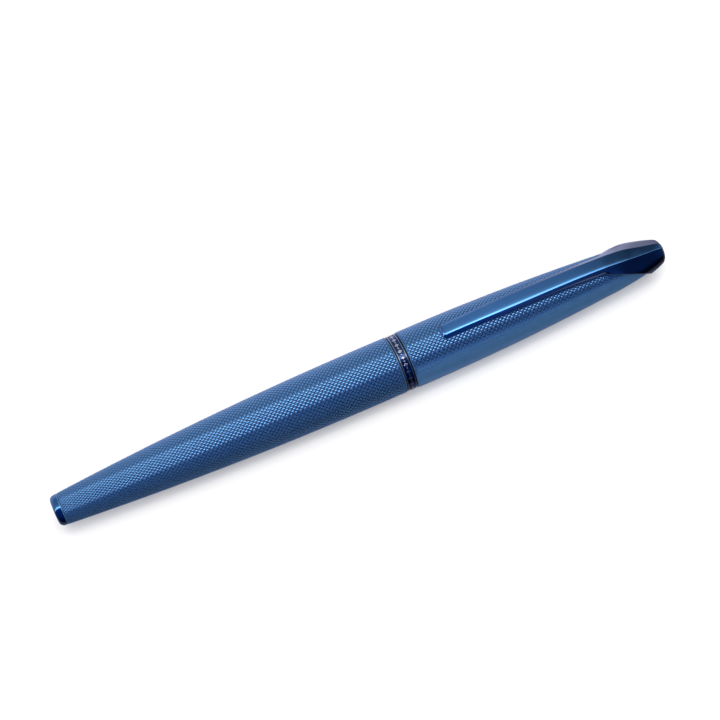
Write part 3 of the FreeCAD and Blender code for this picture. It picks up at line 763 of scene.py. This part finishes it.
# Plain finishes of the parts inside. Each has two tones, two gloss levels and a slight relief, shared
# out by one noise; "grain" is the size of its spots in mm, along the pen and across it.
plainFinishes = {
    # free-cutting brass, turned: fine rings from the tool
    "turned brass": {"tones": ("#C9A564", "#B48E4C"), "metallic": 1.0, "gloss": (0.24, 0.38),
                     "grain": (0.05, 1.5), "relief": 0.004, "nodes": ["thread_bush", "crown_insert"]},
    # stainless steel, turned and lightly polished
    "turned stainless steel": {"tones": ("#C6C8CC", "#B2B5BA"), "metallic": 1.0, "gloss": (0.18, 0.30),
                               "grain": (0.05, 1.5), "relief": 0.003,
                               "nodes": ["front_ring", "nose_cone", "refill_tip", "hood_screw"]},
    # stainless steel tube, drawn: faint lines along its length
    "drawn steel tube": {"tones": ("#BFC2C7", "#A9ADB4"), "metallic": 1.0, "gloss": (0.26, 0.40),
                         "grain": (4.0, 0.08), "relief": 0.003, "nodes": ["refill_tube"]},
    # spring wire: drawn steel with a thin grey oxide
    "spring wire": {"tones": ("#A6A8AC", "#85888E"), "metallic": 1.0, "gloss": (0.28, 0.46),
                    "grain": (0.25, 0.08), "relief": 0.004, "nodes": ["refill_spring", "hood_washer"]},
    # brass with a satin blue-black coating over a blasted surface
    "satin dark coating": {"tones": ("#232C3E", "#1A2230"), "metallic": 0.6, "gloss": (0.34, 0.48),
                           "grain": (0.06, 0.06), "relief": 0.006, "nodes": ["section_sleeve", "grip_tube"]},
    # nitrile rubber: dull, with a fine bloom
    "nitrile rubber": {"tones": ("#1B1B1D", "#2A2A2C"), "metallic": 0.0, "gloss": (0.62, 0.85),
                       "grain": (0.12, 0.12), "relief": 0.010,
                       "nodes": ["shoulder_washer", "thread_o_ring", "tip_seal"]},
    # acetal, moulded black: waxy, with faint flow marks
    "moulded black acetal": {"tones": ("#1D1D20", "#262629"), "metallic": 0.0, "gloss": (0.34, 0.50),
                             "grain": (1.2, 0.3), "relief": 0.006,
                             "nodes": ["refill_end_plug", "refill_nose", "cap_clutch"]},
    # clear styrene, moulded: see-through, with faint flow marks
    "moulded clear styrene": {"tones": ("#E6EBEE", "#D6DEE4"), "metallic": 0.0, "gloss": (0.08, 0.20),
                              "grain": (1.5, 0.5), "relief": 0.006, "clear": 0.85, "nodes": ["cap_liner"]},
    # bonded fibres soaked with blue ink
    "ink-soaked fibre": {"tones": ("#14225E", "#2C3F8C"), "metallic": 0.0, "gloss": (0.55, 0.80),
                         "grain": (0.9, 0.05), "relief": 0.015, "nodes": ["ink_reservoir", "feed_rod"]},
    # tungsten carbide, ground: dark bright metal with tiny pores
    "ground tungsten carbide": {"tones": ("#8E9095", "#6F7176"), "metallic": 1.0, "gloss": (0.12, 0.26),
                                "grain": (0.03, 0.03), "relief": 0.002, "nodes": ["writing_ball"]},
}


def plainFinish(name, values):
    material, tree, shader = newMaterial(name, {
        "Metallic": values["metallic"], "Transmission Weight": values.get("clear", 0.0)})
    place = addNode(tree, "ShaderNodeTexCoord").outputs["Object"]
    alongGrain, acrossGrain = (1 / (size * mm) for size in values["grain"])
    stretched = addNode(tree, "ShaderNodeVectorMath", {"operation": "MULTIPLY"}, {
        0: place, 1: (alongGrain, acrossGrain, acrossGrain)})
    grain = addNode(tree, "ShaderNodeTexNoise", inputs={
        "Vector": stretched.outputs["Vector"], "Scale": 1.0, "Detail": 3.0}).outputs["Fac"]
    tint = addNode(tree, "ShaderNodeMix", {"data_type": "RGBA"}, {"Factor": grain})
    tint.inputs["A"].default_value = linear(values["tones"][0])
    tint.inputs["B"].default_value = linear(values["tones"][1])
    low, high = values["gloss"]
    gloss = addNode(tree, "ShaderNodeMapRange", inputs={"Value": grain, "To Min": low, "To Max": high})
    relief = addNode(tree, "ShaderNodeBump", inputs={"Height": grain, "Distance": values["relief"] * mm})
    tree.links.new(tint.outputs["Result"], shader.inputs["Base Color"])
    tree.links.new(gloss.outputs["Result"], shader.inputs["Roughness"])
    tree.links.new(relief.outputs["Normal"], shader.inputs["Normal"])
    return material


def dress(nodeNames, material):
    for nodeName in nodeNames:
        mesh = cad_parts[nodeName].data
        mesh.materials.clear()
        mesh.materials.append(material)


for finishName, finishValues in plainFinishes.items():
    dress(finishValues["nodes"], plainFinish(finishName, finishValues))
dress(["tail_plug"], hoodCoating)
print("inner parts dressed")


studio = {
    "view": (-17.5, 67.0),       # degrees: turn round the pen and height above the floor
    "roll": -7.12,
    "lens": 100.0,
    "distance": 0.4207,
    "aim": (-0.88, 3.86),        # mm right and up in the picture from the pen's middle
    "panels": {"floor light": ((0.0, 0.55, 0.85), 5.2), "floor fill": ((0.0, -0.45, 0.9), 4.7)},
    "panelDistance": 0.7,
    "panelSize": (1.0, 0.9),
}


def viewAxes(values):
    turn, lift = (math.radians(angle) for angle in values["view"])
    toCamera = Vector((math.sin(turn) * math.cos(lift), -math.cos(turn) * math.cos(lift), math.sin(lift)))
    right = Vector((math.cos(turn), math.sin(turn), 0.0))
    up = toCamera.cross(right)
    roll = math.radians(values["roll"])
    rolledRight = right * math.cos(roll) + up * math.sin(roll)
    rolledUp = up * math.cos(roll) - right * math.sin(roll)
    return rolledRight, rolledUp, toCamera


right, up, toCamera = viewAxes(studio)
penMiddle = Vector(((penStart + penEnd) / 2, 0.0, axisHeight))


def addCamera(values):
    camera = bpy.data.objects.new("camera", bpy.data.cameras.new("camera"))
    bpy.context.scene.collection.objects.link(camera)
    target = penMiddle + right * (values["aim"][0] * mm) + up * (values["aim"][1] * mm)
    place = Matrix((right, up, toCamera)).transposed().to_4x4()
    place.translation = target + toCamera * values["distance"]
    camera.matrix_world = place
    camera.data.lens = values["lens"]
    camera.data.clip_start = 0.01
    bpy.context.scene.camera = camera


# A soft panel, aimed at the pen from a direction given in the picture's own right, up and towards.
# It lights the floor and doesn't show in the gloss, which has the studio air to reflect.
def addPanel(name, direction, power, values):
    data = bpy.data.lights.new(name, "AREA")
    data.shape = "RECTANGLE"
    data.size, data.size_y = values["panelSize"]
    data.energy = power
    panel = bpy.data.objects.new(name, data)
    bpy.context.scene.collection.objects.link(panel)
    away = (right * direction[0] + up * direction[1] + toCamera * direction[2]).normalized()
    side = (Vector((1, 0, 0)) - away * away.x).normalized()
    place = Matrix((side, away.cross(side), away)).transposed().to_4x4()
    place.translation = penMiddle + away * values["panelDistance"]
    panel.matrix_world = place
    panel.visible_glossy = False


# What surrounds the pen in the studio, as brightness by height: degrees up from the viewer's side
# of the horizon, over the top (90) and down to the far side (180), and below the table the same way.
studioAir = {
    "bands": [(-180, "#D8D8E8", 1.20), (-140, "#C8C8DC", 1.10), (-105, "#A8A8BC", 0.45),
              (-60, "#A8A8C0", 0.45), (-35, "#606880", 0.14), (-22, "#202C44", 0.04),
              (20, "#2860B0", 0.42), (66, "#3068B8", 0.46), (80, "#7098F0", 0.50),
              (86, "#FFFFFF", 4.20), (90, "#FFFFFF", 4.20), (95, "#F4F8FF", 0.72),
              (108, "#E8F0FF", 0.54), (150, "#E0E8FF", 0.48), (180, "#D8D8E8", 0.85)],
    # the same by direction along the pen, -1 to the tail and 1 to the head, where a dark screen stands
    "screen": [(-1.0, 0.7), (-0.1, 0.60), (0.06, 0.93), (0.14, 0.97), (0.27, 0.72),
               (0.5, 0.30), (0.75, 0.18), (1.0, 0.5)],
}


def addRamp(tree, factor, stops):
    ramp = addNode(tree, "ShaderNodeValToRGB", inputs={"Fac": factor})
    elements = ramp.color_ramp.elements
    while len(elements) < len(stops):
        elements.new(0.5)
    for element, (position, colour) in zip(elements, stops):
        element.position = position
        element.color = (*colour, 1.0)
    return ramp.outputs["Color"]


def addStudioAir(values):
    world = bpy.data.worlds.new("studio air")
    world.use_nodes = True
    tree = world.node_tree
    way = addNode(tree, "ShaderNodeTexCoord").outputs["Generated"]
    parts = addNode(tree, "ShaderNodeSeparateXYZ", inputs={"Vector": way})
    nearness = addNode(tree, "ShaderNodeMath", {"operation": "MULTIPLY"}, {0: parts.outputs["Y"], 1: -1.0})
    height = addNode(tree, "ShaderNodeMath", {"operation": "ARCTAN2"}, {
        0: parts.outputs["Z"], 1: nearness.outputs[0]})
    share = addNode(tree, "ShaderNodeMapRange", inputs={
        "Value": height.outputs[0], "From Min": -math.pi, "From Max": math.pi})
    bands = addRamp(tree, share.outputs["Result"], [
        ((degrees + 180) / 360, [channel * brightness for channel in linear(colour)[:3]])
        for degrees, colour, brightness in values["bands"]])
    sideways = addNode(tree, "ShaderNodeMapRange", inputs={"Value": parts.outputs["X"], "From Min": -1.0})
    screen = addRamp(tree, sideways.outputs["Result"], [
        ((x + 1) / 2, [brightness] * 3) for x, brightness in values["screen"]])
    air = tree.nodes["Background"]
    tree.links.new(bands, air.inputs["Color"])
    tree.links.new(screen, air.inputs["Strength"])
    bpy.context.scene.world = world


def addFloor():
    mesh = bpy.data.meshes.new("floor")
    half = 3.0
    corners = [(-half, -half, 0), (half, -half, 0), (half, half, 0), (-half, half, 0)]
    mesh.from_pydata(corners, [], [(0, 1, 2, 3)])
    floor = bpy.data.objects.new("floor", mesh)
    bpy.context.scene.collection.objects.link(floor)
    paper = newMaterial("white paper sweep", {
        "Base Color": (0.94, 0.915, 0.875, 1.0), "Roughness": 0.9, "Specular IOR Level": 0.1})[0]
    mesh.materials.append(paper)
    floor.visible_glossy = False


addCamera(studio)
addFloor()
for panelName, (panelDirection, panelPower) in studio["panels"].items():
    addPanel(panelName, panelDirection, panelPower, studio)
addStudioAir(studioAir)
bpy.context.scene.view_settings.view_transform = "Standard"
print("studio ready")
